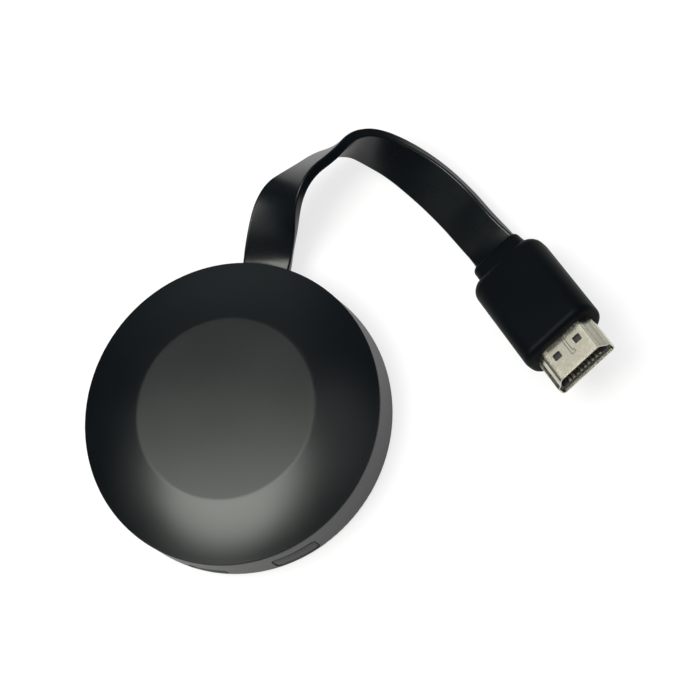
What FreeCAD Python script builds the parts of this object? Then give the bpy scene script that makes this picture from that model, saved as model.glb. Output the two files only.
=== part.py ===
import FreeCAD, Part
import math
import os

from FreeCAD import Vector

# A wireless display dongle: a round case that lies flat, a short flat cable, and a display plug.
# Millimetres. +Z is up, the origin is the middle of the case's underside, and the cable leaves
# the case towards +Y. The power socket is opposite, at -Y.

# Case
FOOT_RADIUS = 32.9
RIM_RADIUS = 32.5
INNER_RADIUS = 31.0
RIM_HEIGHT = 9.8
FLOOR = 1.2
FOOT_ROUNDING = 1.0
SEAM_CHAMFER = 0.2
WALL_BITE = 0.3
RIB = 1.2
LABEL_RADIUS = 18.0
LABEL_RECESS = 0.3
LABEL_THICKNESS = 0.2
LABEL_PLAY = 0.2

# Cover: a sloping ring that is slightly convex, and a flat disc in the middle
TOTAL_HEIGHT = 13.2
DISC_RADIUS = 19.6
CREASE_HEIGHT = 10.0
EDGE_ROUNDING = 0.25
RING_BULGE = 0.3
COVER_WALL = 1.5
LIP_OUTER = 30.95
LIP_INNER = 29.4
LIP_LOW = 8.3
SNAP_REACH = 0.35
SNAP_LOW = 8.4
SNAP_HIGH = 8.9
SNAP_PLAY = 0.08

# Main board, on three bosses
BOARD_RADIUS = 29.4
BOARD_LOW = 4.0
BOARD_HIGH = 5.0
BOARD_NOTCH_HALF = 8.2
BOARD_NOTCH_Y = 24.2
SCREW_CIRCLE = 25.0
SCREW_ANGLES = (15.0, 165.0, 240.0)
BOSS_RADIUS = 2.3
SCREW_RADIUS = 0.9
SCREW_HEAD_RADIUS = 1.8
SCREW_HEAD_HEIGHT = 1.2
SCREW_HEAD_ROUNDING = 0.4
SCREW_DEPTH = 2.4
SCREW_TIP_PLAY = 0.3
SCREW_HOLE_RADIUS = 1.1
CROSS_REACH = 1.0
CROSS_HALF = 0.25
CROSS_DEPTH = 0.6

# What stands on the board. A place is the middle of the piece, a size is x, y and height.
PROCESSOR_PLACE = (2.0, 2.0)
PROCESSOR_SIZE = (14.0, 14.0, 1.3)
PAD_SIZE = (14.0, 14.0, 0.8)
SINK_SIDE = 24.0
SINK_HEIGHT = 4.1
SINK_BASE = 1.2
SINK_FINS = 9
SINK_FIN = 0.9
MEMORY_PLACE = (-17.0, 5.0)
MEMORY_SIZE = (8.0, 12.0, 1.1)
FLASH_PLACE = (-19.0, -13.2)
FLASH_SIZE = (3.9, 4.9, 1.4)
FLASH_LEGS = 4
REGULATOR_PLACES = ((12.0, 17.5), (-12.0, 17.0), (-18.5, -6.0))
REGULATOR_SIZE = (1.6, 2.9, 1.0)
REGULATOR_LEGS = 3
CHIP_CLEARANCE = 0.1
LEG_LENGTH = 0.8
LEG_THICKNESS = 0.3
LEG_SHARE = 0.35
CRYSTAL_PLACE = (-6.0, 19.5)
CRYSTAL_SIZE = (3.2, 2.5, 0.8)
INDUCTOR_PLACE = (17.6, 15.4)
INDUCTOR_SIDE = 4.2
INDUCTOR_HEIGHT = 2.2
INDUCTOR_CORNER = 0.9
CAPACITOR_CIRCLE = 14.8
CAPACITORS_AROUND = 8
SMALL_CAPACITOR = (1.6, 0.8, 0.8)
CAPACITOR_ROW_START = (10.5, 20.8)
CAPACITOR_ROW_PITCH = 2.4
CAPACITORS_IN_ROW = 4
LARGE_CAPACITOR = (1.2, 2.0, 1.2)
RADIO_PLACE = (-2.0, -19.0)
RADIO_SIZE = (12.0, 12.0, 0.8)
CAN_SIDE = 11.0
CAN_HEIGHT = 1.6
CAN_SHEET = 0.2
ANTENNA_ANGLE = -18.0
ANTENNA_RADIUS = 26.0
ANTENNA_SHEET = 0.4
ANTENNA_HALF = 7.0
ANTENNA_HEIGHT = 4.0
ANTENNA_ARM = 2.6
ANTENNA_STRIP_LOW = 1.6
ANTENNA_LEG_TOP = 2.0
ANTENNA_FOOT = 1.2
ANTENNA_LEG_WIDTH = 1.0
ANTENNA_LEGS = (-6.5, -3.0)

# Power socket, under the board's edge
SOCKET_ANGLE = -90.0
SOCKET_FRONT = 31.5
SOCKET_DEPTH = 5.4
SOCKET_HALF_WIDTH = 3.75
SOCKET_HEIGHT = 2.45
SOCKET_SHOULDER = 1.2
SOCKET_TAPER = 0.9
SOCKET_SHEET = 0.25
SOCKET_WINDOW = (8.8, 3.05)
SOCKET_WINDOW_LOW = 1.25
SOCKET_WINDOW_CORNER = 0.8
SOCKET_CONTACTS = 5
SOCKET_PITCH = 0.65
SOCKET_CONTACT_HALF = 0.15
SOCKET_CONTACT_SINK = 0.1
SOCKET_CONTACT_SETBACK = 0.9
TONGUE_HALF = 1.9
TONGUE_TOP_DROP = 0.7
TONGUE_LOW_DROP = 1.35
TONGUE_SETBACK = 0.6
TONGUE_ROOT_HALF = 2.6
TONGUE_ROOT_DEPTH = 1.2
TONGUE_ROOT_TOP_DROP = 0.35
TONGUE_ROOT_LOW_DROP = 2.0

# Side button and the switch behind it
BUTTON_ANGLE = -55.0
BUTTON_WINDOW = (10.2, 5.4)
BUTTON_WINDOW_CORNER = 1.2
BUTTON_FACE = (9.7, 4.9)
BUTTON_SINK = 0.12
BUTTON_LOW = 1.4
BUTTON_CORNER = 1.0
BUTTON_BACK = 29.95
BUTTON_FLANGE_FRONT = 30.25
BUTTON_FLANGE_BACK = 29.2
BUTTON_FLANGE_HALF = 6.0
BUTTON_FLANGE_PLAY = 0.1
BUTTON_FLANGE_RANGE = (1.42, 3.83)
BUTTON_NOSE = 28.75
BUTTON_NOSE_HALF = 1.6
BUTTON_NOSE_RANGE = (2.2, 3.6)
BUTTON_TRAVEL = 0.3
GUIDE_THICKNESS = 0.8
PLUNGER_GAP = 0.05
PLUNGER_LENGTH = 1.6
PLUNGER_HALF = 1.2
PLUNGER_RANGE = (2.5, 3.4)
PLUNGER_PLAY = 0.07
PLUNGER_END_PLAY = 0.15
SWITCH_FRONT = 28.0
SWITCH_BACK = 24.6
SWITCH_HALF_WIDTH = 3.0
SWITCH_LOW = 2.1

# Flat cable
CABLE_WIDTH = 10.4
CABLE_THICKNESS = 2.2
CABLE_SLOT_PLAY = 0.4
CABLE_SLOT_CORNER = 0.6
GROMMET_HALF_WIDTH = 6.5
GROMMET_BACK = 26.2
GROMMET_FRONT = 29.9
GROMMET_LOW = 3.4
GROMMET_HIGH = 7.4
GROMMET_CORNER = 0.5
WIRE_COUNT = 9
WIRE_PITCH = 1.1
WIRE_RADIUS = 0.35
WIRE_START = 21.6

# The cable's route, from the grommet to the plug's strain relief, and at each point the turn of
# its width about the route, in degrees from level. It stands on edge where it turns the corner.
CABLE_ROUTE = [
    Vector(0.0, 29.9, 6.0),
    Vector(0.0, 32.7, 6.0),
    Vector(0.4, 37.8, 8.4),
    Vector(2.5, 46.2, 14.0),
    Vector(5.7, 52.3, 13.5),
    Vector(10.6, 58.3, 11.3),
    Vector(13.9, 61.5, 9.6),
    Vector(17.7, 62.0, 7.8),
    Vector(23.9, 60.4, 5.7),
    Vector(31.7, 56.3, 4.1),
    Vector(38.5, 51.4, 3.5),
    Vector(43.1, 47.3, 3.9),
    Vector(47.28, 43.92, 3.4),
    Vector(49.2, 42.0, 4.3),
]
CABLE_ROLL = [0.0, 0.0, -23.0, 11.0, 48.0, 53.0, 82.0, 116.0, 131.0, 149.0, 153.0, 151.0, 153.0, 169.0]
TANGENT_SHARE = 0.45
STRAIGHT_STEP = 2.0
ARC_STEP = 6.0

# Plug: it lies along the cable's last run. Its own frame has x to the tip, y across, z out of
# the narrow side, and its origin in the middle of the grip's front face.
PLUG_ROLL = 11.0
GRIP_LENGTH = 24.2
GRIP_WIDTH = 17.8
GRIP_THICKNESS = 9.4
GRIP_CORNER = 3.9
GRIP_REAR_ROUNDING = 2.6
GRIP_FRONT_ROUNDING = 1.4
RELIEF_LENGTH = 4.0
RELIEF_WIDTH = 12.2
RELIEF_THICKNESS = 5.6
RELIEF_ROUNDING = 1.3
RELIEF_REAR_ROUNDING = 1.0
SHELL_WIDTH = 13.9
SHELL_HEIGHT = 4.45
SHELL_SHEET = 0.3
SHELL_REACH = 7.9
SHELL_ROOT = 6.0
SHELL_TOP_HALF = 4.45
SHELL_NECK = (5.2, 0.2)
SHELL_WAIST = (6.2, 0.72)
SHELL_BELLY = 0.42
SHELL_FOOT_CHAMFER = 0.5
LATCH_WINDOW = 1.7
LATCH_ALONG = 3.0
LATCH_ACROSS = 2.62
LATCH_WELL_PLAY = 0.1
LATCH_WELL_LOW = 1.5
UPPER_CONTACTS = 10
LOWER_CONTACTS = 9
CONTACT_PITCH = 1.0
CONTACT_WIDTH = 0.5
CONTACT_PROUD = 0.1
CONTACT_SUNK = 0.2
CONTACT_TAIL = 2.0
CONTACT_SETBACK = 1.0
TONGUE_SLOT = (11.6, 1.9)
SLOT_BACK = 0.5
INSULATOR_SETBACK = 0.5
CORE_LENGTH = 14.0
CORE_WIDTH = 13.4
CORE_THICKNESS = 5.6
PLUG_BOARD_BACK = 11.0
PLUG_BOARD_FRONT = 0.5
PLUG_BOARD_HALF = (6.0, 0.75)

UPRIGHT = Vector(0, 0, 1)
OUTWARDS = Vector(1, 0, 0)
PAST = 1.0


def save(name, shape):
    """Write one sub-part, and say when a solid isn't sound."""
    if not shape.isValid():
        print("not valid:", name)
    shape.exportStep(os.path.join("parts", name + ".step"))
    print(name, "solids", len(shape.Solids), "volume", round(shape.Volume, 2))


def block(x_range, y_range, z_range):
    """A box between two values on each axis."""
    corner = Vector(x_range[0], y_range[0], z_range[0])
    length = x_range[1] - x_range[0]
    width = y_range[1] - y_range[0]
    height = z_range[1] - z_range[0]
    return Part.makeBox(length, width, height, corner)


def around(middle, half):
    """The range that reaches equally far to both sides of a value."""
    return (middle - half, middle + half)


def edges_along(shape, direction):
    """The straight edges of a shape that run along a direction."""
    found = []
    for edge in shape.Edges:
        if not isinstance(edge.Curve, Part.Line):
            continue
        if abs(edge.tangentAt(edge.FirstParameter).dot(direction)) > 0.999:
            found.append(edge)
    return found


def rounded_block(x_range, y_range, z_range, radius, direction):
    """A box whose edges along one direction are rounded."""
    solid = block(x_range, y_range, z_range)
    return solid.makeFillet(radius, edges_along(solid, direction))


def turned(shape, angle):
    """A shape built with +X pointing outwards, turned about the case's axis."""
    copy = shape.copy()
    copy.rotate(Vector(0, 0, 0), UPRIGHT, angle)
    return copy


def spun(points):
    """A solid of revolution about Z from a closed outline. A pair in a list is an arc."""
    edges = []
    for start, end in zip(points, points[1:] + points[:1]):
        first = start[-1] if isinstance(start, list) else start
        if isinstance(end, list):
            edges.append(Part.Arc(*[Vector(r, 0, z) for r, z in [first] + end]).toShape())
        else:
            line = Part.LineSegment(Vector(first[0], 0, first[1]), Vector(end[0], 0, end[1]))
            edges.append(line.toShape())
    face = Part.Face(Part.Wire(edges))
    return face.revolve(Vector(0, 0, 0), UPRIGHT, 360)


def screw_places():
    """The middle of each board screw."""
    places = []
    for angle in SCREW_ANGLES:
        turn = math.radians(angle)
        places.append(Vector(SCREW_CIRCLE * math.cos(turn), SCREW_CIRCLE * math.sin(turn), 0))
    return places


def case_cup():
    """The cup alone: floor with the label's recess, side wall and snap groove."""
    foot_in = FOOT_ROUNDING * (1 - math.sqrt(0.5))
    groove = INNER_RADIUS + SNAP_REACH + SNAP_PLAY
    return spun(
        [
            (0.0, LABEL_RECESS),
            (LABEL_RADIUS, LABEL_RECESS),
            (LABEL_RADIUS, 0.0),
            (FOOT_RADIUS - FOOT_ROUNDING, 0.0),
            [(FOOT_RADIUS - foot_in, foot_in), (FOOT_RADIUS, FOOT_ROUNDING)],
            (RIM_RADIUS, RIM_HEIGHT - SEAM_CHAMFER),
            (RIM_RADIUS - SEAM_CHAMFER, RIM_HEIGHT),
            (INNER_RADIUS, RIM_HEIGHT),
            (INNER_RADIUS, SNAP_HIGH + SNAP_PLAY),
            (groove, SNAP_HIGH + SNAP_PLAY),
            (groove, SNAP_LOW - SNAP_PLAY),
            (INNER_RADIUS, SNAP_LOW - SNAP_PLAY),
            (INNER_RADIUS, FLOOR),
            (0.0, FLOOR),
        ]
    )


def with_bosses(case):
    """The cup with a boss and a pilot hole under each board screw."""
    for place in screw_places():
        boss = Part.makeCylinder(BOSS_RADIUS, BOARD_LOW - FLOOR, place + Vector(0, 0, FLOOR))
        pilot_low = place + Vector(0, 0, BOARD_LOW - SCREW_DEPTH)
        pilot = Part.makeCylinder(SCREW_RADIUS, SCREW_DEPTH, pilot_low)
        case = case.fuse(boss).cut(pilot)
    return case


def with_cradle_and_guides(case):
    """The cup with the cradle that holds the grommet and the ribs beside the button's flange."""
    inside = Part.makeCylinder(INNER_RADIUS + WALL_BITE, RIM_HEIGHT)
    width = around(0, GROMMET_HALF_WIDTH)
    case = case.fuse(block(width, (GROMMET_BACK, GROMMET_FRONT), (FLOOR, GROMMET_LOW)))
    for side in (-1, 1):
        middle = side * (GROMMET_HALF_WIDTH + RIB / 2)
        cheek = block(around(middle, RIB / 2), (GROMMET_BACK, INNER_RADIUS), (FLOOR, GROMMET_HIGH))
        case = case.fuse(cheek.common(inside))
    guide_depth = (BUTTON_FLANGE_BACK - GUIDE_THICKNESS, INNER_RADIUS)
    guide_height = (FLOOR, BOARD_LOW - 2 * BUTTON_FLANGE_PLAY)
    for side in (-1, 1):
        middle = side * (BUTTON_FLANGE_HALF + BUTTON_FLANGE_PLAY + GUIDE_THICKNESS / 2)
        guide = block(guide_depth, around(middle, GUIDE_THICKNESS / 2), guide_height)
        case = case.fuse(turned(guide.common(inside), BUTTON_ANGLE))
    return case


def make_bottom_case():
    """The cup with its bosses, cradle and guides, and three openings in the side wall."""
    case = with_cradle_and_guides(with_bosses(case_cup()))
    outside = FOOT_RADIUS + PAST

    reach = (INNER_RADIUS - RIB, outside)
    height = (SOCKET_WINDOW_LOW, SOCKET_WINDOW_LOW + SOCKET_WINDOW[1])
    width = around(0, SOCKET_WINDOW[0] / 2)
    socket_window = rounded_block(reach, width, height, SOCKET_WINDOW_CORNER, OUTWARDS)

    reach = (BUTTON_FLANGE_FRONT + BUTTON_FLANGE_PLAY, outside)
    height = around(BUTTON_LOW + BUTTON_FACE[1] / 2, BUTTON_WINDOW[1] / 2)
    width = around(0, BUTTON_WINDOW[0] / 2)
    button_window = rounded_block(reach, width, height, BUTTON_WINDOW_CORNER, OUTWARDS)

    reach = (GROMMET_FRONT, outside)
    height = around(CABLE_ROUTE[0].z, CABLE_THICKNESS / 2 + CABLE_SLOT_PLAY)
    width = around(0, CABLE_WIDTH / 2 + CABLE_SLOT_PLAY)
    cable_slot = rounded_block(reach, width, height, CABLE_SLOT_CORNER, OUTWARDS)

    case = case.cut(turned(socket_window, SOCKET_ANGLE))
    case = case.cut(turned(button_window, BUTTON_ANGLE))
    case = case.cut(turned(cable_slot, 90.0))
    return case.removeSplitter()


def make_top_cover():
    """The domed cover, with the lip and the snap bead that hold it in the case."""
    ring_start = (RIM_RADIUS - EDGE_ROUNDING, CREASE_HEIGHT + EDGE_ROUNDING)
    ring_end = (DISC_RADIUS, TOTAL_HEIGHT)
    run = ring_end[0] - ring_start[0]
    rise = ring_end[1] - ring_start[1]
    length = math.hypot(run, rise)
    ring_middle = (
        (ring_start[0] + ring_end[0]) / 2 + RING_BULGE * rise / length,
        (ring_start[1] + ring_end[1]) / 2 - RING_BULGE * run / length,
    )
    edge_middle = (RIM_RADIUS - 0.3 * EDGE_ROUNDING, CREASE_HEIGHT + 0.7 * EDGE_ROUNDING)
    under_disc = TOTAL_HEIGHT - COVER_WALL
    return spun(
        [
            (0.0, TOTAL_HEIGHT),
            (0.0, under_disc),
            (DISC_RADIUS - 0.2 * COVER_WALL, under_disc),
            (LIP_INNER, RIM_HEIGHT),
            (LIP_INNER, LIP_LOW),
            (LIP_OUTER, LIP_LOW),
            (LIP_OUTER, SNAP_LOW),
            (LIP_OUTER + SNAP_REACH, (SNAP_LOW + SNAP_HIGH) / 2),
            (LIP_OUTER, SNAP_HIGH),
            (LIP_OUTER, RIM_HEIGHT),
            (RIM_RADIUS - SEAM_CHAMFER, RIM_HEIGHT),
            (RIM_RADIUS, CREASE_HEIGHT),
            [edge_middle, ring_start],
            [ring_middle, ring_end],
        ]
    )


def make_bottom_label():
    """A blank plate in the recess of the underside."""
    low = Vector(0, 0, LABEL_RECESS - LABEL_THICKNESS)
    return Part.makeCylinder(LABEL_RADIUS - LABEL_PLAY, LABEL_THICKNESS, low)


def make_main_board():
    """The round board, with a notch for the grommet and holes for its screws."""
    board = Part.makeCylinder(BOARD_RADIUS, BOARD_HIGH - BOARD_LOW, Vector(0, 0, BOARD_LOW))
    through = (BOARD_LOW - PAST, BOARD_HIGH + PAST)
    notch = block(around(0, BOARD_NOTCH_HALF), (BOARD_NOTCH_Y, BOARD_RADIUS + PAST), through)
    board = board.cut(notch)
    for place in screw_places():
        hole_low = place + Vector(0, 0, through[0])
        board = board.cut(Part.makeCylinder(SCREW_HOLE_RADIUS, through[1] - through[0], hole_low))
    return board


def make_board_screws():
    """Three pan-head screws, each with a cross recess."""
    screws = []
    top = BOARD_HIGH + SCREW_HEAD_HEIGHT
    shank_length = BOARD_HIGH - BOARD_LOW + SCREW_DEPTH - SCREW_TIP_PLAY
    for place in screw_places():
        head_low = place + Vector(0, 0, BOARD_HIGH)
        head = Part.makeCylinder(SCREW_HEAD_RADIUS, SCREW_HEAD_HEIGHT, head_low)
        rim = [edge for edge in head.Edges if edge.BoundBox.ZMin > top - SCREW_HEAD_HEIGHT / 2]
        head = head.makeFillet(SCREW_HEAD_ROUNDING, rim)
        shank_low = place + Vector(0, 0, BOARD_HIGH - shank_length)
        screw = head.fuse(Part.makeCylinder(SCREW_RADIUS, shank_length, shank_low))
        for x_half, y_half in ((CROSS_REACH, CROSS_HALF), (CROSS_HALF, CROSS_REACH)):
            depth = (top - CROSS_DEPTH, top + PAST)
            screw = screw.cut(block(around(place.x, x_half), around(place.y, y_half), depth))
        screws.append(screw)
    return Part.makeCompound(screws)


def chip(middle, size, low):
    """A square-cornered package that stands on a level."""
    x_range = around(middle[0], size[0] / 2)
    y_range = around(middle[1], size[1] / 2)
    return block(x_range, y_range, (low, low + size[2]))


def legged_chip(middle, size, low, legs):
    """A package with legs on its two long sides."""
    package = chip(middle, size, low + CHIP_CLEARANCE)
    pitch = size[1] / legs
    leg_size = (LEG_LENGTH, pitch * LEG_SHARE, LEG_THICKNESS)
    for side in (-1, 1):
        x = middle[0] + side * (size[0] + LEG_LENGTH) / 2
        for number in range(legs):
            y = middle[1] + (number - (legs - 1) / 2) * pitch
            package = package.fuse(chip((x, y), leg_size, low))
    return package


def make_heat_sink(low):
    """A finned aluminium block."""
    sink = chip(PROCESSOR_PLACE, (SINK_SIDE, SINK_SIDE, SINK_HEIGHT), low)
    pitch = (SINK_SIDE - SINK_FIN) / (SINK_FINS - 1)
    long_way = around(PROCESSOR_PLACE[1], SINK_SIDE / 2 + PAST)
    for number in range(SINK_FINS - 1):
        gap_low = PROCESSOR_PLACE[0] - SINK_SIDE / 2 + SINK_FIN + number * pitch
        gap_width = (gap_low, gap_low + pitch - SINK_FIN)
        sink = sink.cut(block(gap_width, long_way, (low + SINK_BASE, low + SINK_HEIGHT + PAST)))
    return sink


def make_radio_shield(low):
    """A pressed can with an open underside."""
    inner_side = CAN_SIDE - 2 * CAN_SHEET
    can = chip(RADIO_PLACE, (CAN_SIDE, CAN_SIDE, CAN_HEIGHT), low)
    return can.cut(chip(RADIO_PLACE, (inner_side, inner_side, CAN_HEIGHT - CAN_SHEET), low))


def make_radio_antenna(low):
    """A stamped strip that stands on the board's edge, with feet, legs and a folded arm."""
    top = low + ANTENNA_HEIGHT
    outer = ANTENNA_RADIUS + ANTENNA_SHEET
    length = around(0, ANTENNA_HALF)
    antenna = block((ANTENNA_RADIUS, outer), length, (low + ANTENNA_STRIP_LOW, top))
    arm = block((ANTENNA_RADIUS - ANTENNA_ARM, outer), length, (top - ANTENNA_SHEET, top))
    antenna = antenna.fuse(arm)
    for y in ANTENNA_LEGS:
        width = (y, y + ANTENNA_LEG_WIDTH)
        leg = block((ANTENNA_RADIUS, outer), width, (low, low + ANTENNA_LEG_TOP))
        foot = block((ANTENNA_RADIUS - ANTENNA_FOOT, outer), width, (low, low + ANTENNA_SHEET))
        antenna = antenna.fuse(leg).fuse(foot)
    return turned(antenna.removeSplitter(), ANTENNA_ANGLE)


def make_ceramic_capacitors(low):
    """Chip capacitors around the processor and beside the regulators."""
    solids = []
    for number in range(CAPACITORS_AROUND):
        turn = math.radians(360 / CAPACITORS_AROUND * (number + 0.5))
        x = PROCESSOR_PLACE[0] + CAPACITOR_CIRCLE * math.cos(turn)
        y = PROCESSOR_PLACE[1] + CAPACITOR_CIRCLE * math.sin(turn)
        solids.append(chip((x, y), SMALL_CAPACITOR, low))
    for number in range(CAPACITORS_IN_ROW):
        x = CAPACITOR_ROW_START[0] + CAPACITOR_ROW_PITCH * number
        solids.append(chip((x, CAPACITOR_ROW_START[1]), LARGE_CAPACITOR, low))
    return Part.makeCompound(solids)


def make_regulator_chips(low):
    """Three small supply chips with legs."""
    chips = []
    for place in REGULATOR_PLACES:
        chips.append(legged_chip(place, REGULATOR_SIZE, low, REGULATOR_LEGS))
    return Part.makeCompound(chips)


def make_power_inductor(low):
    """A shielded choke with rounded upright edges."""
    x_range = around(INDUCTOR_PLACE[0], INDUCTOR_SIDE / 2)
    y_range = around(INDUCTOR_PLACE[1], INDUCTOR_SIDE / 2)
    height = (low, low + INDUCTOR_HEIGHT)
    return rounded_block(x_range, y_range, height, INDUCTOR_CORNER, UPRIGHT)


def socket_outline(x, inset):
    """The socket's section, wide side up, as a closed wire at one depth."""
    low = BOARD_LOW - SOCKET_HEIGHT + inset
    high = BOARD_LOW - inset
    half = SOCKET_HALF_WIDTH - inset
    narrow = SOCKET_HALF_WIDTH - SOCKET_TAPER - inset * 0.5
    shoulder = BOARD_LOW - SOCKET_SHOULDER
    corners = [(half, high), (half, shoulder), (narrow, low)]
    corners += [(-y, z) for y, z in reversed(corners)]
    points = [Vector(x, y, z) for y, z in corners]
    return Part.makePolygon(points + points[:1])


def make_socket_shell():
    """The socket's folded metal shell, closed at its back."""
    back = SOCKET_FRONT - SOCKET_DEPTH
    outside = Part.Face(socket_outline(back, 0.0)).extrude(Vector(SOCKET_DEPTH, 0, 0))
    inner_back = socket_outline(back + SOCKET_SHEET, SOCKET_SHEET)
    inside = Part.Face(inner_back).extrude(Vector(SOCKET_DEPTH + PAST, 0, 0))
    return turned(outside.cut(inside), SOCKET_ANGLE)


def socket_contact(number):
    """One of the five contacts, on the tongue's lower face."""
    y = (number - (SOCKET_CONTACTS - 1) / 2) * SOCKET_PITCH
    depth = (SOCKET_FRONT - SOCKET_DEPTH + SOCKET_SHEET, SOCKET_FRONT - SOCKET_CONTACT_SETBACK)
    height = around(BOARD_LOW - TONGUE_LOW_DROP, SOCKET_CONTACT_SINK)
    return block(depth, around(y, SOCKET_CONTACT_HALF), height)


def make_socket_tongue():
    """The socket's insulator: a block at the back and a tongue towards the mouth."""
    back = SOCKET_FRONT - SOCKET_DEPTH + SOCKET_SHEET
    root_height = (BOARD_LOW - TONGUE_ROOT_LOW_DROP, BOARD_LOW - TONGUE_ROOT_TOP_DROP)
    root = block((back, back + TONGUE_ROOT_DEPTH), around(0, TONGUE_ROOT_HALF), root_height)
    tongue_height = (BOARD_LOW - TONGUE_LOW_DROP, BOARD_LOW - TONGUE_TOP_DROP)
    tongue = block((back, SOCKET_FRONT - TONGUE_SETBACK), around(0, TONGUE_HALF), tongue_height)
    insulator = root.fuse(tongue)
    for number in range(SOCKET_CONTACTS):
        insulator = insulator.cut(socket_contact(number))
    return turned(insulator.removeSplitter(), SOCKET_ANGLE)


def make_socket_contacts():
    """The socket's five contacts."""
    contacts = [socket_contact(number) for number in range(SOCKET_CONTACTS)]
    return turned(Part.makeCompound(contacts), SOCKET_ANGLE)


def make_mode_button():
    """The button: a face that follows the wall, a flange that keeps it in, and a nose."""
    width = around(0, BUTTON_FACE[0] / 2)
    height = (BUTTON_LOW, BUTTON_LOW + BUTTON_FACE[1])
    depth = (BUTTON_BACK, FOOT_RADIUS + PAST)
    body = rounded_block(depth, width, height, BUTTON_CORNER, OUTWARDS)
    slope = (FOOT_RADIUS - RIM_RADIUS) / (RIM_HEIGHT - SEAM_CHAMFER - FOOT_ROUNDING)
    low_radius = FOOT_RADIUS - BUTTON_SINK + slope * FOOT_ROUNDING
    high_radius = low_radius - slope * RIM_HEIGHT
    body = body.common(Part.makeCone(low_radius, high_radius, RIM_HEIGHT))
    flange_depth = (BUTTON_FLANGE_BACK, BUTTON_FLANGE_FRONT)
    flange = block(flange_depth, around(0, BUTTON_FLANGE_HALF), BUTTON_FLANGE_RANGE)
    nose_depth = (BUTTON_NOSE, BUTTON_FLANGE_BACK)
    nose = block(nose_depth, around(0, BUTTON_NOSE_HALF), BUTTON_NOSE_RANGE)
    return turned(body.fuse(flange).fuse(nose).removeSplitter(), BUTTON_ANGLE)


def make_switch_plunger():
    """The switch's plunger, just behind the button's nose."""
    tip = BUTTON_NOSE - PLUNGER_GAP
    plunger = block((tip - PLUNGER_LENGTH, tip), around(0, PLUNGER_HALF), PLUNGER_RANGE)
    return turned(plunger, BUTTON_ANGLE)


def make_switch_body():
    """The switch's housing, soldered under the board, with a cavity for the plunger."""
    width = around(0, SWITCH_HALF_WIDTH)
    housing = block((SWITCH_BACK, SWITCH_FRONT), width, (SWITCH_LOW, BOARD_LOW))
    plunger_back = BUTTON_NOSE - PLUNGER_GAP - PLUNGER_LENGTH
    cavity = block(
        (plunger_back - BUTTON_TRAVEL - PLUNGER_END_PLAY, SWITCH_FRONT + PAST),
        around(0, PLUNGER_HALF + PLUNGER_PLAY),
        (PLUNGER_RANGE[0] - PLUNGER_PLAY, PLUNGER_RANGE[1] + PLUNGER_PLAY),
    )
    return turned(housing.cut(cavity), BUTTON_ANGLE)


def make_cable_grommet():
    """The block moulded on the cable's end, which sits in the case's cradle."""
    width = around(0, GROMMET_HALF_WIDTH)
    depth = (GROMMET_BACK, GROMMET_FRONT)
    return rounded_block(width, depth, (GROMMET_LOW, GROMMET_HIGH), GROMMET_CORNER, UPRIGHT)


def make_signal_wires():
    """The cable's wires, from the grommet on to the board."""
    wires = []
    for number in range(WIRE_COUNT):
        x = (number - (WIRE_COUNT - 1) / 2) * WIRE_PITCH
        start = Vector(x, WIRE_START, BOARD_HIGH + WIRE_RADIUS)
        length = GROMMET_BACK - WIRE_START
        wires.append(Part.makeCylinder(WIRE_RADIUS, length, start, Vector(0, 1, 0)))
    return Part.makeCompound(wires)


def straight_stations(start, end, forward, travelled):
    """Places along a straight run, without its end."""
    steps = max(1, math.ceil((end - start).Length / STRAIGHT_STEP))
    stations = []
    for step in range(steps):
        along = (end - start) * (step / steps)
        stations.append((start + along, forward, travelled + along.Length))
    return stations


def arc_stations(start, middle, axis, turn, forward, travelled):
    """Places along an arc, without its end."""
    steps = max(3, math.ceil(math.degrees(turn) / ARC_STEP))
    radius = (start - middle).Length
    stations = []
    for step in range(steps):
        rotation = FreeCAD.Rotation(axis, math.degrees(turn) * step / steps)
        place = middle + rotation.multVec(start - middle)
        distance = travelled + radius * turn * step / steps
        stations.append((place, rotation.multVec(forward), distance))
    return stations


def cable_stations():
    """Places along the route, with direction and distance, and the middle of each arc."""
    points = CABLE_ROUTE
    stations = []
    marks = []
    radii = []
    travelled = 0.0
    position = points[0]
    for before, corner, after in zip(points, points[1:], points[2:]):
        run_in = corner - before
        run_out = after - corner
        forward = Vector(run_in).normalize()
        onward = Vector(run_out).normalize()
        turn = run_in.getAngle(run_out)
        trim = TANGENT_SHARE * min(run_in.Length, run_out.Length)
        radius = trim / math.tan(turn / 2)
        radii.append(round(radius, 1))
        arc_start = corner - forward * trim
        stations += straight_stations(position, arc_start, forward, travelled)
        travelled += (arc_start - position).Length
        inwards = (onward - forward * forward.dot(onward)).normalize()
        middle = arc_start + inwards * radius
        axis = forward.cross(onward)
        stations += arc_stations(arc_start, middle, axis, turn, forward, travelled)
        marks.append(travelled + radius * turn / 2)
        travelled += radius * turn
        position = corner + onward * trim
    last = Vector(points[-1] - points[-2]).normalize()
    stations.append((position, last, travelled))
    travelled += (points[-1] - position).Length
    stations.append((points[-1], last, travelled))
    print("cable radii", radii, "length", round(travelled, 1))
    return stations, marks


def roll_at(distance, marks, length):
    """The cable's turn at a distance: a quadratic blend of the turns at the route's points."""
    bounds = [0.0]
    bounds += [(first + second) / 2 for first, second in zip(marks, marks[1:])]
    bounds += [length]
    for number, low in enumerate(bounds[:-1]):
        high = bounds[number + 1]
        if distance <= high or high == length:
            break
    share = (distance - low) / (high - low)
    before, corner, after = CABLE_ROLL[number : number + 3]
    start = before if number == 0 else (before + corner) / 2
    end = after if high == length else (corner + after) / 2
    return start * (1 - share) ** 2 + 2 * corner * share * (1 - share) + end * share**2


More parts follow.
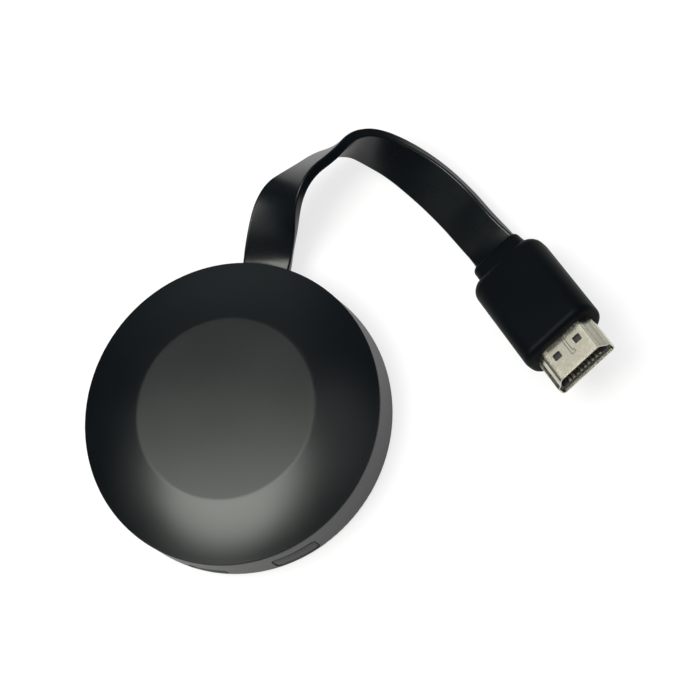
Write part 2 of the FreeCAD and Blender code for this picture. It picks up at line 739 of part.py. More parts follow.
def cable_section(place, direction, turn):
    """The cable's flat section at one place, turned about the direction from level."""
    level = direction.cross(UPRIGHT).normalize()
    upright = level.cross(direction)
    across = level * math.cos(turn) + upright * math.sin(turn)
    through = across.cross(direction)
    wide = across * (CABLE_WIDTH / 2)
    thick = through * (CABLE_THICKNESS / 2)
    corners = [place - wide - thick, place + wide - thick, place + wide + thick, place - wide + thick]
    return Part.makePolygon(corners + corners[:1])


def make_ribbon_cable():
    """The flat cable: one section carried along the route, turning as it goes."""
    stations, marks = cable_stations()
    length = stations[-1][2]
    sections = []
    for place, direction, distance in stations:
        turn = math.radians(roll_at(distance, marks, length))
        sections.append(cable_section(place, direction, turn))
    cable = Part.makeLoft(sections, True, True)
    expected = CABLE_WIDTH * CABLE_THICKNESS * length
    print("cable volume", round(cable.Volume, 1), "section by length", round(expected, 1))
    return cable


def plug_placement():
    """The plug's frame: x along the cable's last run, rolled about it."""
    axis = Vector(CABLE_ROUTE[-1] - CABLE_ROUTE[-2]).normalize()
    level = UPRIGHT.cross(axis).normalize()
    across = FreeCAD.Rotation(axis, PLUG_ROLL).multVec(level)
    out = axis.cross(across)
    origin = CABLE_ROUTE[-1] + axis * (GRIP_LENGTH + RELIEF_LENGTH)
    matrix = FreeCAD.Matrix(
        *(axis.x, across.x, out.x, origin.x),
        *(axis.y, across.y, out.y, origin.y),
        *(axis.z, across.z, out.z, origin.z),
        *(0, 0, 0, 1),
    )
    return FreeCAD.Placement(matrix)


def on_plug(shape):
    """A shape built in the plug's own frame, set in its place."""
    copy = shape.copy()
    copy.Placement = plug_placement().multiply(copy.Placement)
    return copy


def shell_outline(x, inset):
    """The plug shell's section, narrow side up, drawn in by an inset."""
    half = SHELL_WIDTH / 2
    top = SHELL_HEIGHT / 2
    corners = [
        (SHELL_TOP_HALF, top),
        (SHELL_NECK[0], top - SHELL_NECK[1]),
        SHELL_WAIST,
        (half, SHELL_BELLY),
        (half, SHELL_FOOT_CHAMFER - top),
        (half - SHELL_FOOT_CHAMFER, -top),
    ]
    corners += [(-y, z) for y, z in reversed(corners)]
    points = [Vector(x, y, z) for y, z in corners]
    wire = Part.makePolygon(points + points[:1])
    if inset:
        wire = wire.makeOffset2D(-inset, 2)
    return wire


def shell_body(x_range, inset):
    """The space inside the plug shell's section, from one depth to another."""
    length = Vector(x_range[1] - x_range[0], 0, 0)
    return Part.Face(shell_outline(x_range[0], inset)).extrude(length)


def latch_block(play, low):
    """Two square blocks at the latch windows, each wider than its window by a play."""
    half = LATCH_WINDOW / 2 + play
    height = (low, SHELL_HEIGHT)
    blocks = []
    for side in (-1, 1):
        across = around(side * LATCH_ACROSS, half)
        blocks.append(block(around(LATCH_ALONG, half), across, height))
    return blocks[0].fuse(blocks[1])


def make_plug_shell():
    """The plug's metal shell, with two square latch windows in its narrow side."""
    shell = shell_body((-SHELL_ROOT, SHELL_REACH), 0.0)
    shell = shell.cut(shell_body((-SHELL_ROOT - PAST, SHELL_REACH + PAST), SHELL_SHEET))
    return shell.cut(latch_block(0.0, PAST))


def contact_row(count, face):
    """One row of contacts on one side of the tongue slot."""
    surface = TONGUE_SLOT[1] / 2
    near = face * (surface - CONTACT_PROUD)
    far = face * (surface + CONTACT_SUNK)
    height = (min(near, far), max(near, far))
    depth = (-SHELL_ROOT - CONTACT_TAIL, SHELL_REACH - CONTACT_SETBACK)
    strips = []
    for number in range(count):
        y = (number - (count - 1) / 2) * CONTACT_PITCH
        strips.append(block(depth, around(y, CONTACT_WIDTH / 2), height))
    return Part.makeCompound(strips)


def without_contacts(shape):
    """A plug shape with a groove for each contact."""
    return shape.cut(contact_row(UPPER_CONTACTS, 1)).cut(contact_row(LOWER_CONTACTS, -1))


def make_plug_insulator():
    """The insulator that fills the shell, with the tongue slot and the latch wells."""
    insulator = shell_body((-SHELL_ROOT, SHELL_REACH - INSULATOR_SETBACK), SHELL_SHEET)
    slot = block(
        (SLOT_BACK, SHELL_REACH + PAST),
        around(0, TONGUE_SLOT[0] / 2),
        around(0, TONGUE_SLOT[1] / 2),
    )
    insulator = insulator.cut(slot).cut(latch_block(LATCH_WELL_PLAY, LATCH_WELL_LOW))
    return without_contacts(insulator)


def core_block():
    """The inner block's outside, behind the shell."""
    depth = (-SHELL_ROOT - CORE_LENGTH, -SHELL_ROOT)
    return block(depth, around(0, CORE_WIDTH / 2), around(0, CORE_THICKNESS / 2))


def plug_board_block():
    """The small board that joins the contacts to the cable's wires."""
    depth = (-SHELL_ROOT - PLUG_BOARD_BACK, -SHELL_ROOT - PLUG_BOARD_FRONT)
    return block(depth, around(0, PLUG_BOARD_HALF[0]), around(0, PLUG_BOARD_HALF[1]))


def make_plug_inner_mould():
    """The inner block, with room for the small board and the contacts' tails."""
    return without_contacts(core_block().cut(plug_board_block()))


def end_edges(shape, x):
    """The edges of a shape that lie in the plane at one place along the plug."""
    found = []
    for edge in shape.Edges:
        if max(abs(edge.BoundBox.XMin - x), abs(edge.BoundBox.XMax - x)) < 0.01:
            found.append(edge)
    return found


def make_plug_overmould():
    """The grip: a rounded block moulded round the inner block and the shell's root."""
    width = around(0, GRIP_WIDTH / 2)
    height = around(0, GRIP_THICKNESS / 2)
    grip = rounded_block((-GRIP_LENGTH, 0), width, height, GRIP_CORNER, OUTWARDS)
    grip = grip.makeFillet(GRIP_REAR_ROUNDING, end_edges(grip, -GRIP_LENGTH))
    grip = grip.makeFillet(GRIP_FRONT_ROUNDING, end_edges(grip, 0))
    return grip.cut(core_block()).cut(shell_body((-SHELL_ROOT, PAST), 0.0))


def make_strain_relief():
    """The collar behind the grip."""
    back = -GRIP_LENGTH - RELIEF_LENGTH
    width = around(0, RELIEF_WIDTH / 2)
    height = around(0, RELIEF_THICKNESS / 2)
    collar = rounded_block((back, -GRIP_LENGTH), width, height, RELIEF_ROUNDING, OUTWARDS)
    return collar.makeFillet(RELIEF_REAR_ROUNDING, end_edges(collar, back))


def make_case_pieces():
    """The case, its cover and its label."""
    save("top_cover", make_top_cover())
    save("bottom_case", make_bottom_case())
    save("bottom_label", make_bottom_label())


def make_board_pieces():
    """The board, its screws and what stands on it."""
    low = BOARD_HIGH
    pad_low = low + PROCESSOR_SIZE[2]
    save("main_board", make_main_board())
    save("board_screws", make_board_screws())
    save("soc_chip", chip(PROCESSOR_PLACE, PROCESSOR_SIZE, low))
    save("thermal_pad", chip(PROCESSOR_PLACE, PAD_SIZE, pad_low))
    save("heat_sink", make_heat_sink(pad_low + PAD_SIZE[2]))
    save("memory_chip", chip(MEMORY_PLACE, MEMORY_SIZE, low))
    save("flash_chip", legged_chip(FLASH_PLACE, FLASH_SIZE, low, FLASH_LEGS))
    save("radio_module", chip(RADIO_PLACE, RADIO_SIZE, low))
    save("radio_shield", make_radio_shield(low + RADIO_SIZE[2]))
    save("radio_antenna", make_radio_antenna(low))
    save("crystal", chip(CRYSTAL_PLACE, CRYSTAL_SIZE, low))
    save("power_inductor", make_power_inductor(low))
    save("regulator_chips", make_regulator_chips(low))
    save("ceramic_capacitors", make_ceramic_capacitors(low))


def make_socket_and_button_pieces():
    """The power socket, the button and the switch behind it."""
    save("socket_shell", make_socket_shell())
    save("socket_tongue", make_socket_tongue())
    save("socket_contacts", make_socket_contacts())
    save("mode_button", make_mode_button())
    save("switch_body", make_switch_body())
    save("switch_plunger", make_switch_plunger())


def make_cable_pieces():
    """The flat cable, its grommet and its wires."""
    save("cable_grommet", make_cable_grommet())
    save("signal_wires", make_signal_wires())
    save("ribbon_cable", make_ribbon_cable())


def make_plug_pieces():
    """The plug, in its place at the end of the cable."""
    save("strain_relief", on_plug(make_strain_relief()))
    save("plug_overmould", on_plug(make_plug_overmould()))
    save("plug_inner_mould", on_plug(make_plug_inner_mould()))
    save("plug_board", on_plug(plug_board_block()))
    save("plug_shell", on_plug(make_plug_shell()))
    save("plug_insulator", on_plug(make_plug_insulator()))
    save("plug_contacts_upper", on_plug(contact_row(UPPER_CONTACTS, 1)))
    save("plug_contacts_lower", on_plug(contact_row(LOWER_CONTACTS, -1)))


def main():
    """Make every sub-part."""
    os.makedirs("parts", exist_ok=True)
    make_case_pieces()
    make_board_pieces()
    make_socket_and_button_pieces()
    make_cable_pieces()
    make_plug_pieces()


main()
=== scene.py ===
"""A wireless display dongle: its shapes, finishes, camera and light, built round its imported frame."""

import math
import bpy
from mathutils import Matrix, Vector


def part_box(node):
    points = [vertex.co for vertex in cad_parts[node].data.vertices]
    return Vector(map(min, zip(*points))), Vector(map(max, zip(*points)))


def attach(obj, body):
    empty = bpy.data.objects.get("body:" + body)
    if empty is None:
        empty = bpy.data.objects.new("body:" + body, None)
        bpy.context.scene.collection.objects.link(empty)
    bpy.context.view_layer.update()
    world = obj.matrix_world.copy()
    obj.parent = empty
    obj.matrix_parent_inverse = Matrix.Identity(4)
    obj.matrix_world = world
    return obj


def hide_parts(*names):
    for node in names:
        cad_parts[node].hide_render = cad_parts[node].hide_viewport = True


bl_info = {
    "name": "Wireless display dongle",
    "version": (1, 0, 0),
    "blender": (4, 5, 0),
    "location": "3D View > Sidebar > Dongle",
    "description": "Builds the round case, the flat cable and the plug, with their finishes",
    "category": "Add Mesh",
}

import bmesh
import bpy
from bpy.props import FloatProperty, FloatVectorProperty, PointerProperty
from mathutils import Matrix, Vector

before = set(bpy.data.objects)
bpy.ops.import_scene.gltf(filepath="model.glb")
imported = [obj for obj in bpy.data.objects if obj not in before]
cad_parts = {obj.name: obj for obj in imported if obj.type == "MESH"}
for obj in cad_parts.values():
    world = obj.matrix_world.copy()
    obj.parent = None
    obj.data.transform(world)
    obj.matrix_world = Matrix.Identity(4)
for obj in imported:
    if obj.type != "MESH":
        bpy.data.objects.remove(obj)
MM = 0.001
MICRON = 0.001 * MM
# An overlap or a gap between two shapes that is too small to see
HAIR = 0.02 * MM
# How near to a plane a vertex has to be to count as lying in it
TOUCH = HAIR / 4

# The flat cable's route, from the grommet to the plug's strain relief, and at each point the
# turn of its width about the route, in degrees from level
CABLE_ROUTE = [
    (0.0000, 0.0299, 0.0060),
    (0.0000, 0.0327, 0.0060),
    (0.0004, 0.0378, 0.0084),
    (0.0025, 0.0462, 0.0140),
    (0.0057, 0.0523, 0.0135),
    (0.0106, 0.0583, 0.0113),
    (0.0139, 0.0615, 0.0096),
    (0.0177, 0.0620, 0.0078),
    (0.0239, 0.0604, 0.0057),
    (0.0317, 0.0563, 0.0041),
    (0.0385, 0.0514, 0.0035),
    (0.0431, 0.0473, 0.0039),
    (0.04728, 0.04392, 0.0034),
    (0.0492, 0.0420, 0.0043),
]
CABLE_ROLL = [0.0, 0.0, -23.0, 11.0, 48.0, 53.0, 82.0, 116.0, 131.0, 149.0, 153.0, 151.0, 153.0, 169.0]
# The turn of the plug about its own length, in degrees from level
PLUG_ROLL = 11.0
# Where the side button stands round the case, in degrees from x
BUTTON_TURN = -55.0
# How deep the grooves of the plug shell's folded seam are
SEAM_DEPTH = 0.1 * MM
# For each row of the plug's contacts, their number and the side of the plug's middle they lie on
CONTACT_ROWS = {"plug_contacts_upper": (10, 1), "plug_contacts_lower": (9, -1)}


def size(label, description, millimetres):
    """A length that a user can change, given in millimetres."""
    return FloatProperty(
        name=label, description=description, default=millimetres * MM, subtype="DISTANCE", precision=5
    )


def colour(label, description, value):
    """A colour that a user can change."""
    return FloatVectorProperty(name=label, description=description, default=value, subtype="COLOR")


def gloss(label, description, value):
    """A roughness that a user can change."""
    return FloatProperty(name=label, description=description, default=value, subtype="FACTOR")


class DongleCover(bpy.types.PropertyGroup):
    """Sizes of the domed cover."""

    radius: size("Radius", "Of the cover at the seam", 32.5)
    height: size("Height", "Of the flat disc above the table", 13.2)
    disc: size("Disc radius", "Of the flat disc in the middle", 19.6)
    disc_blend: size("Disc blend", "Reach of the soft edge between disc and ring", 0.45)
    ring_low: size("Ring's low edge", "Height where the sloping ring ends", 10.25)
    bulge: size("Bulge", "How far the ring stands off a straight slope", 0.3)
    rim: size("Rim rounding", "Rounding between ring and rim", 0.25)
    wall: size("Wall", "Thickness of the cover", 1.5)


class DongleButton(bpy.types.PropertyGroup):
    """Sizes of the side button."""

    width: size("Width", "Of the button's face", 9.7)
    height: size("Height", "Of the button's face", 4.7)
    low: size("Low edge", "Of the face above the table", 1.2)
    corner: size("Corner", "Radius of the face's corners", 1.0)
    foot: size("Foot radius", "Distance of the face from the case's axis at the table", 32.8265)
    rim: size("Rim radius", "Distance of the face from the case's axis at the seam", 32.3707)
    edge: size("Edge rounding", "Of the face's outline", 0.16)


class DongleCable(bpy.types.PropertyGroup):
    """Sizes of the flat cable."""

    width: size("Width", "Across the flat cable", 10.4)
    thickness: size("Thickness", "Through the flat cable", 2.2)
    edge: size("Edge radius", "Rounding of its edges", 0.4)


class DonglePlug(bpy.types.PropertyGroup):
    """Sizes of the plug. Its own frame has x to the tip, y across and z out of the narrow side."""

    grip_length: size("Grip length", "From the strain relief to the front face", 24.2)
    grip_width: size("Grip width", "Across the grip", 17.8)
    grip_thickness: size("Grip thickness", "Through the grip", 9.4)
    grip_corner: size("Grip corner", "Rounding of its long edges", 3.9)
    grip_rear: size("Rear rounding", "Of the grip's rear edge", 2.6)
    grip_front: size("Front rounding", "Of the grip's front edge", 1.4)
    relief_length: size("Relief length", "Of the strain relief", 4.0)
    relief_width: size("Relief width", "Across the strain relief", 12.2)
    relief_thickness: size("Relief thickness", "Through the strain relief", 5.6)
    shell_width: size("Shell width", "Across the metal shell", 13.9)
    shell_height: size("Shell height", "Through the metal shell", 4.45)
    shell_sheet: size("Shell sheet", "Thickness of its metal", 0.3)
    shell_reach: size("Shell reach", "From the grip to the mouth", 7.9)
    shell_root: size("Shell root", "How far it goes into the grip", 6.0)
    window: size("Latch window", "Side of each square window", 1.7)
    window_along: size("Window distance", "Of the windows from the grip", 3.0)
    window_across: size("Window spacing", "Of each window from the middle", 2.62)
    pitch: size("Contact pitch", "Between neighbouring contacts", 1.0)


class DongleFinish(bpy.types.PropertyGroup):
    """Colours and gloss of the pieces that show."""

    black: colour("Black", "The cover, the cable and the grip", (0.0018, 0.0030, 0.0044))
    grey: colour("Grey", "The case's side wall and underside", (0.039, 0.040, 0.039))
    nickel: colour("Nickel", "The plug's shell", (0.78, 0.74, 0.63))
    cover_gloss: gloss("Cover roughness", "Of the cover", 0.26)
    cable_gloss: gloss("Cable roughness", "Of the flat cable", 0.28)
    grip_gloss: gloss("Grip roughness", "Of the plug's grip", 0.52)


class DongleStudio(bpy.types.PropertyGroup):
    """Camera and lamps."""

    camera_place: FloatVectorProperty(
        name="Camera",
        description="Where the camera stands",
        default=(0.1395, -0.0659, 0.3693),
        subtype="TRANSLATION",
    )
    camera_aim: FloatVectorProperty(
        name="Aim",
        description="The point it looks at",
        default=(0.0217, 0.0175, 0.0050),
        subtype="TRANSLATION",
    )
    camera_up: FloatVectorProperty(
        name="Up", description="The way up in its picture", default=(-0.124, 0.9578, 0.2593)
    )
    lens: FloatProperty(name="Lens", description="In millimetres", default=95.84, unit="CAMERA")
    key: FloatProperty(name="Key", description="Power of the round key lamp", default=5.8, unit="POWER")
    side: FloatProperty(name="Side", description="Power of side and front lamps", default=0.3, unit="POWER")
    fill: FloatProperty(name="Fill", description="Power of the wide fill lamp", default=17.0, unit="POWER")


class DongleSettings(bpy.types.PropertyGroup):
    """All of the dongle's values."""

    cover: PointerProperty(type=DongleCover)
    button: PointerProperty(type=DongleButton)
    cable: PointerProperty(type=DongleCable)
    plug: PointerProperty(type=DonglePlug)
    finish: PointerProperty(type=DongleFinish)
    studio: PointerProperty(type=DongleStudio)


def settings():
    """The scene's groups of sizes, colours and studio values."""
    return bpy.context.scene.dongle_settings


def deselect():
    """Leave nothing selected, so that the next operator acts on its own piece."""
    bpy.ops.object.select_all(action="DESELECT")


def take(piece):
    """Select one piece alone and make it the active one."""
    deselect()
    piece.select_set(True)
    bpy.context.view_layer.objects.active = piece


def settle(piece):
    """Put a piece's place, turn and scale into its mesh."""
    take(piece)
    bpy.ops.object.transform_apply(location=True, rotation=True, scale=True)


def block(name, low, high):
    """A box between two corners."""
    deselect()
    low, high = Vector(low), Vector(high)
    bpy.ops.mesh.primitive_cube_add(size=1.0, location=(low + high) / 2)
    piece = bpy.context.active_object
    piece.name = name
    piece.scale = high - low
    settle(piece)
    return piece


def bar(name, back, front, width, height):
    """A box along x, with x in its middle."""
    return block(name, (back, -width / 2, -height / 2), (front, width / 2, height / 2))


def select_where(piece, kind, test):
    """In edit mode, select the vertices, edges or faces that pass a test."""
    bpy.ops.mesh.select_mode(type=kind)
    bpy.ops.mesh.select_all(action="DESELECT")
    shape = bmesh.from_edit_mesh(piece.data)
    parts = {"VERT": shape.verts, "EDGE": shape.edges, "FACE": shape.faces}[kind]
    for part in parts:
        if test(part):
            part.select_set(True)
    shape.select_flush_mode()
    bmesh.update_edit_mesh(piece.data)


def along(axis):
    """A test for edges that run along an axis."""

    def test(edge):
        span = edge.verts[1].co - edge.verts[0].co
        return abs(span[axis]) > 0.999 * span.length

    return test


def at(axis, value):
    """A test for edges that lie in the plane at one value of an axis."""

    def test(edge):
        return all(abs(vertex.co[axis] - value) < TOUCH for vertex in edge.verts)

    return test


def soften(piece, test, reach, steps):
    """Round the edges of a piece that pass a test."""
    take(piece)
    bpy.ops.object.mode_set(mode="EDIT")
    select_where(piece, "EDGE", test)
    bpy.ops.mesh.bevel(offset=reach, segments=steps, clamp_overlap=True)
    bpy.ops.object.mode_set(mode="OBJECT")


def cut(piece, cutter, way="DIFFERENCE"):
    """Cut, join or keep the common part of two solids, and delete the second."""
    take(piece)
    modifier = piece.modifiers.new("cut", "BOOLEAN")
    modifier.operation = way
    modifier.solver = "EXACT"
    modifier.object = cutter
    bpy.ops.object.modifier_apply(modifier=modifier.name)
    mesh = cutter.data
    bpy.data.objects.remove(cutter)
    bpy.data.meshes.remove(mesh)


def gather(name, pieces):
    """Several pieces as one."""
    deselect()
    for piece in pieces:
        piece.select_set(True)
    bpy.context.view_layer.objects.active = pieces[0]
    bpy.ops.object.join()
    joined = bpy.context.active_object
    joined.name = name
    return joined


def rounded(corners, steps=6):
    """An outline whose corners are rounded, each by its own reach along both of its sides."""
    outline = []
    for number, (x, y, reach) in enumerate(corners):
        if not reach:
            outline.append((x, y))
            continue
        here = Vector((x, y))
        before = Vector(corners[number - 1][:2]) - here
        after = Vector(corners[number + 1][:2]) - here
        start = here + before.normalized() * reach
        end = here + after.normalized() * reach
        for step in range(steps + 1):
            share = step / steps
            first = start.lerp(here, share)
            second = here.lerp(end, share)
            outline.append(tuple(first.lerp(second, share)))
    return outline


def turned(name, outline, steps):
    """A solid turned about the upright axis: a circle drawn through each radius and height."""
    deselect()
    radius, height = outline[0]
    bpy.ops.mesh.primitive_circle_add(vertices=steps, radius=radius, location=(0, 0, height))
    piece = bpy.context.active_object
    piece.name = name
    bpy.ops.object.mode_set(mode="EDIT")
    bpy.ops.mesh.select_all(action="SELECT")
    for (radius, height), (next_radius, next_height) in zip(outline, outline[1:]):
        scale = next_radius / radius
        bpy.ops.mesh.extrude_region()
        bpy.ops.transform.resize(value=(scale, scale, 1), center_override=(0, 0, height))
        bpy.ops.transform.translate(value=(0, 0, next_height - height))
    bpy.ops.mesh.select_all(action="SELECT")
    bpy.ops.mesh.fill_holes(sides=0)
    bpy.ops.mesh.normals_make_consistent(inside=False)
    bpy.ops.object.mode_set(mode="OBJECT")
    settle(piece)
    return piece


def smooth(piece, degrees):
    """Shade a piece smooth, apart from edges sharper than an angle."""
    take(piece)
    bpy.ops.object.shade_smooth_by_angle(angle=math.radians(degrees))


def wear(piece, finish):
    """Give a piece one finish."""
    piece.data.materials.clear()
    piece.data.materials.append(bpy.data.materials[finish])


def hand_over(piece, finish, body, node, degrees=30):
    """Finish a piece, let it ride on its body, and hide the node that it stands for."""
    smooth(piece, degrees)
    wear(piece, finish)
    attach(piece, body)
    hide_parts(node)


# The limits of a noise value, which it seldom leaves
NOISE_LOW = 0.2
NOISE_HIGH = 0.8


def fine_noise(tree, scale, detail=3.0, source=None):
    """A noise on the piece's own coordinates or on given ones, with about scale features to a metre."""
    noise = tree.nodes.new("ShaderNodeTexNoise")
    noise.inputs["Scale"].default_value = scale
    noise.inputs["Detail"].default_value = detail
    if source is None:
        source = tree.nodes.new("ShaderNodeTexCoord").outputs["Object"]
    tree.links.new(source, noise.inputs["Vector"])
    return noise.outputs["Fac"]


def eased(tree, value, start, end, low, high):
    """Ease a value from its range of start to end to one of low to high, two numbers or values."""
    ease = tree.nodes.new("ShaderNodeMapRange")
    ease.interpolation_type = "SMOOTHSTEP"
    ease.inputs["From Min"].default_value = start
    ease.inputs["From Max"].default_value = end
    for limit, amount in (("To Min", low), ("To Max", high)):
        if isinstance(amount, float):
            ease.inputs[limit].default_value = amount
        else:
            tree.links.new(amount, ease.inputs[limit])
    tree.links.new(value, ease.inputs["Value"])
    return ease.outputs["Result"]


def tinted(tree, shader, noise, darker, lighter):
    """Let a shader's colour wander between two with a noise."""
    ramp = tree.nodes.new("ShaderNodeValToRGB")
    ends = zip(ramp.color_ramp.elements, (NOISE_LOW, NOISE_HIGH), (darker, lighter))
    for element, position, tint in ends:
        element.position = position
        element.color = (*tint, 1.0)
    tree.links.new(noise, ramp.inputs["Fac"])
    tree.links.new(ramp.outputs["Color"], shader.inputs["Base Color"])


def glossed(tree, shader, noise, smoother, rougher):
    """Let a shader's roughness wander between two with a noise."""
    roughness = eased(tree, noise, NOISE_LOW, NOISE_HIGH, smoother, rougher)
    tree.links.new(roughness, shader.inputs["Roughness"])


def raised(tree, shader, value, depth, before=None):
    """A bump of a real depth on the shader's normal."""
    bump = tree.nodes.new("ShaderNodeBump")
    bump.inputs["Distance"].default_value = depth
    tree.links.new(value, bump.inputs["Height"])
    if before is not None:
        tree.links.new(before, bump.inputs["Normal"])
    tree.links.new(bump.outputs["Normal"], shader.inputs["Normal"])
    return bump.outputs["Normal"]


def blank_finish(name):
    """A new material, with its node tree and shader."""
    finish = bpy.data.materials.new(name)
    if finish.name != name:
        raise ValueError(f"the finish name {name} is taken")
    finish.use_nodes = True
    return finish.node_tree, finish.node_tree.nodes["Principled BSDF"]


def moulding(name, base, roughness, grain, depth, wander=0.12, shine=0.5):
    """A moulded plastic: a fine grain, and colour and gloss that wander a little."""
    tree, shader = blank_finish(name)
    shader.inputs["Specular IOR Level"].default_value = shine
    cloud = fine_noise(tree, scale=90.0, detail=0.0)
    darker = [channel * (1 - wander) for channel in base]
    lighter = [channel * (1 + wander) for channel in base]
    tinted(tree, shader, cloud, darker, lighter)
    drift = 0.012
    glossed(tree, shader, cloud, roughness - drift, roughness + drift)
    raised(tree, shader, fine_noise(tree, scale=grain, detail=2.0), depth)


def plated(name, base, roughness):
    """A plated or rolled metal with faint handling marks."""
    tree, shader = blank_finish(name)
    shader.inputs["Metallic"].default_value = 1.0
    darker = [channel * 0.93 for channel in base]
    tinted(tree, shader, fine_noise(tree, scale=260.0, detail=4.0), darker, base)
    glossed(tree, shader, fine_noise(tree, scale=700.0, detail=4.0), roughness - 0.05, roughness + 0.06)
    raised(tree, shader, fine_noise(tree, scale=900.0, detail=2.0), 2 * MICRON)


def drawn_jacket(name, base, roughness):
    """The cable's jacket: faint lines along its length, from its UV map, and a fine grain."""
    tree, shader = blank_finish(name)
    cloud = fine_noise(tree, scale=90.0)
    tinted(tree, shader, cloud, base, [channel * 1.15 for channel in base])
    drift = 0.03
    glossed(tree, shader, cloud, roughness - drift, roughness + drift)
    jacket_map = tree.nodes.new("ShaderNodeUVMap")
    jacket_map.uv_map = "Jacket"
    stretch = tree.nodes.new("ShaderNodeMapping")
    stretch.inputs["Scale"].default_value = (12.0, 2600.0, 1.0)
    tree.links.new(jacket_map.outputs["UV"], stretch.inputs["Vector"])
    lines = fine_noise(tree, scale=1.0, detail=2.0, source=stretch.outputs["Vector"])
    depth = 4 * MICRON
    drawn = raised(tree, shader, lines, depth)
    raised(tree, shader, fine_noise(tree, scale=5000.0, detail=1.0), depth, drawn)


def make_finishes():
    """Every finish, under its own name."""
    colours = settings().finish
    black = tuple(colours.black)
    moulding("satin_cover", black, colours.cover_gloss, grain=6000.0, depth=1 * MICRON)
    moulding("satin_case", tuple(colours.grey), 0.42, grain=7000.0, depth=6 * MICRON, shine=0.62)
    moulding("satin_button", (0.014, 0.015, 0.015), 0.42, grain=7000.0, depth=6 * MICRON, shine=0.35)
    moulding("label_film", (0.022, 0.022, 0.023), 0.5, grain=4000.0, depth=3 * MICRON)
    drawn_jacket("drawn_jacket", black, colours.cable_gloss)
    moulding("soft_grip", black, colours.grip_gloss, grain=7000.0, depth=4 * MICRON, shine=0.12)
    moulding("insulator_black_and_seam_shade", (0.05, 0.05, 0.05), 0.42, grain=5000.0, depth=3 * MICRON)
    moulding("socket_black", (0.006, 0.006, 0.006), 0.5, grain=5000.0, depth=3 * MICRON, shine=0.2)
    moulding("solder_mask", (0.012, 0.10, 0.05), 0.35, grain=2500.0, depth=4 * MICRON, wander=0.2)
    moulding("chip_package", (0.025, 0.025, 0.027), 0.55, grain=9000.0, depth=4 * MICRON)
    moulding("silicone_pad", (0.42, 0.52, 0.66), 0.75, grain=3000.0, depth=10 * MICRON)
    moulding("capacitor_ceramic", (0.42, 0.32, 0.21), 0.5, grain=5000.0, depth=4 * MICRON)
    moulding("white_nylon", (0.55, 0.53, 0.47), 0.45, grain=4000.0, depth=3 * MICRON)
    moulding("wire_insulation", (0.45, 0.06, 0.04), 0.4, grain=3000.0, depth=3 * MICRON)
    plated("bright_nickel", tuple(colours.nickel), 0.24)
    # The socket's shell is nickel made far darker than it really is: painted shade inside the case's port
    # window
    plated("socket_nickel_painted_shade", (0.24, 0.24, 0.23), 0.4)
    plated("tinned_steel", (0.66, 0.65, 0.62), 0.35)
    plated("extruded_aluminium", (0.6, 0.61, 0.62), 0.4)
    plated("zinc_plating", (0.55, 0.55, 0.54), 0.35)
    plated("contact_gold", (0.82, 0.76, 0.60), 0.34)


# The finish of each piece of the frame that stays as it is
FRAME_FINISHES = {
    "satin_case": ["bottom_case"],
    "label_film": ["bottom_label"],
    "soft_grip": ["cable_grommet"],
    "solder_mask": ["main_board", "radio_module", "plug_board"],
    "chip_package": [
        "soc_chip",
        "memory_chip",
        "flash_chip",
        "power_inductor",
        "regulator_chips",
        "switch_body",
    ],
    "silicone_pad": ["thermal_pad"],
    "extruded_aluminium": ["heat_sink"],
    "zinc_plating": ["board_screws"],
    "tinned_steel": ["radio_shield", "radio_antenna", "crystal"],
    "capacitor_ceramic": ["ceramic_capacitors"],
    # The socket's shell wears darkened nickel, painted shade for the inside of the port window
    "socket_nickel_painted_shade": ["socket_shell"],
    "socket_black": ["socket_tongue"],
    "insulator_black_and_seam_shade": ["plug_inner_mould"],
    "contact_gold": ["socket_contacts"],
    "white_nylon": ["switch_plunger"],
    "wire_insulation": ["signal_wires"],
}


class DONGLE_OT_frame_finishes(bpy.types.Operator):
    """Make the finishes, and give each piece of the frame its own"""

    bl_idname = "dongle.frame_finishes"
    bl_label = "Frame finishes"

    def execute(self, context):
        make_finishes()
        for finish, names in FRAME_FINISHES.items():
            for name in names:
                wear(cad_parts[name], finish)
        return {"FINISHED"}


def read_spline(name, points):
    """Points along a smooth open spline that has the given points as its controls."""
    # The curve is only a means, and is removed once its points are read
    curve = bpy.data.curves.new(name, "CURVE")
    curve.dimensions = "3D"
    curve.resolution_u = 16
    spline = curve.splines.new("NURBS")
    spline.points.add(len(points) - 1)
    for control, place in zip(spline.points, points):
        control.co = (*place, 1.0)
    spline.order_u = 3
    spline.use_endpoint_u = True
    holder = bpy.data.objects.new(name, curve)
    bpy.context.scene.collection.objects.link(holder)
    bpy.context.view_layer.update()
    mesh = bpy.data.meshes.new_from_object(holder)
    found = [vertex.co.copy() for vertex in mesh.vertices]
    bpy.data.meshes.remove(mesh)
    bpy.data.objects.remove(holder)
    bpy.data.curves.remove(curve)
    return found


def flat_section(half_width, half_height, radius, steps=5):
    """A rectangle's outline with round corners, anticlockwise. Its faces hold flat up to them."""
    guard = radius / 3
    outline = []
    for quarter, (side, face) in enumerate(((1, 1), (-1, 1), (-1, -1), (1, -1))):
        middle = Vector((side * (half_width - radius), face * (half_height - radius)))
        first_turn = 90 * quarter
        arc = []
        for step in range(steps + 1):
            turn = math.radians(first_turn + 90 * step / steps)
            arc.append(middle + radius * Vector((math.cos(turn), math.sin(turn))))
        start = math.radians(first_turn)
        before = Vector((math.sin(start), -math.cos(start)))
        after = Vector((-math.cos(start), -math.sin(start)))
        outline += [arc[0] + before * guard, *arc, arc[-1] + after * guard]
    return outline


def cable_rings(points, turns, outline):
    """The cable's section at each point of its route, turned about the route from level."""
    rings = []
    for number, (place, turn) in enumerate(zip(points, turns)):
        before = points[max(number - 1, 0)]
        after = points[min(number + 1, len(points) - 1)]
        direction = (after - before).normalized()
        level = direction.cross(Vector((0, 0, 1))).normalized()
        upright = level.cross(direction)
        across = level * math.cos(turn) + upright * math.sin(turn)
        through = across.cross(direction)
        rings.append([place + across * x + through * y for x, y in outline])
    return rings


